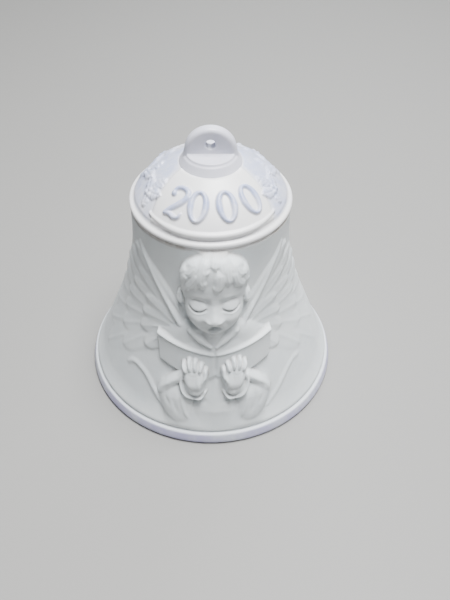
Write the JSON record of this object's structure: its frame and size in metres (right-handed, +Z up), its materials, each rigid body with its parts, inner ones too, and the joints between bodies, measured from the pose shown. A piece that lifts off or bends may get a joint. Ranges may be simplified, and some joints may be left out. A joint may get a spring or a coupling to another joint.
{
  "type": "porcelain table bell",
  "caption": "Flared white porcelain bell with a low relief on the skirt, domed crown, pierced hanging tab and a ball clapper on a wire.",
  "frame": {"origin": "centre of the foot ring, on the surface the bell stands on", "axes": "+Z up through the hanging tab, -Y towards the relief on the front, +Y along the hanging hole towards the back"},
  "size_m": [0.082, 0.082, 0.0889],
  "materials": {
    "bisque": "matte",
    "pearl_glaze": "satin",
    "tinted_bisque": "satin",
    "white_glaze": "gloss",
    "steel_wire": "satin",
    "brass": "satin"
  },
  "bodies": {
    "shell": {"bell_skirt": "bisque", "crown_dome": "pearl_glaze", "hanging_tab": "tinted_bisque", "clapper_saddle": "bisque"},
    "swivel": {"eye_pin": "steel_wire", "saddle_washer": "brass", "crimp_sleeve": "brass"},
    "clapper": {"clapper_wire": "steel_wire", "ball_ferrule": "brass"},
    "ball": {"clapper_ball": "white_glaze"}
  },
  "joints": [
    {"name": "swivel_turn", "type": "hinge", "parent": "shell", "child": "swivel", "pos_m": [0, 0, 0.0706], "axis": [0, 0, 1], "continuous": true},
    {"name": "clapper_swing", "type": "hinge", "parent": "swivel", "child": "clapper", "pos_m": [0, 0, 0.0619], "axis": [1, 0, 0], "range_deg": [-28.4, 28.4]},
    {"name": "ball_spin", "type": "hinge", "parent": "clapper", "child": "ball", "pos_m": [0, 0, 0.017], "axis": [0, 0, 1], "continuous": true}
  ]
}
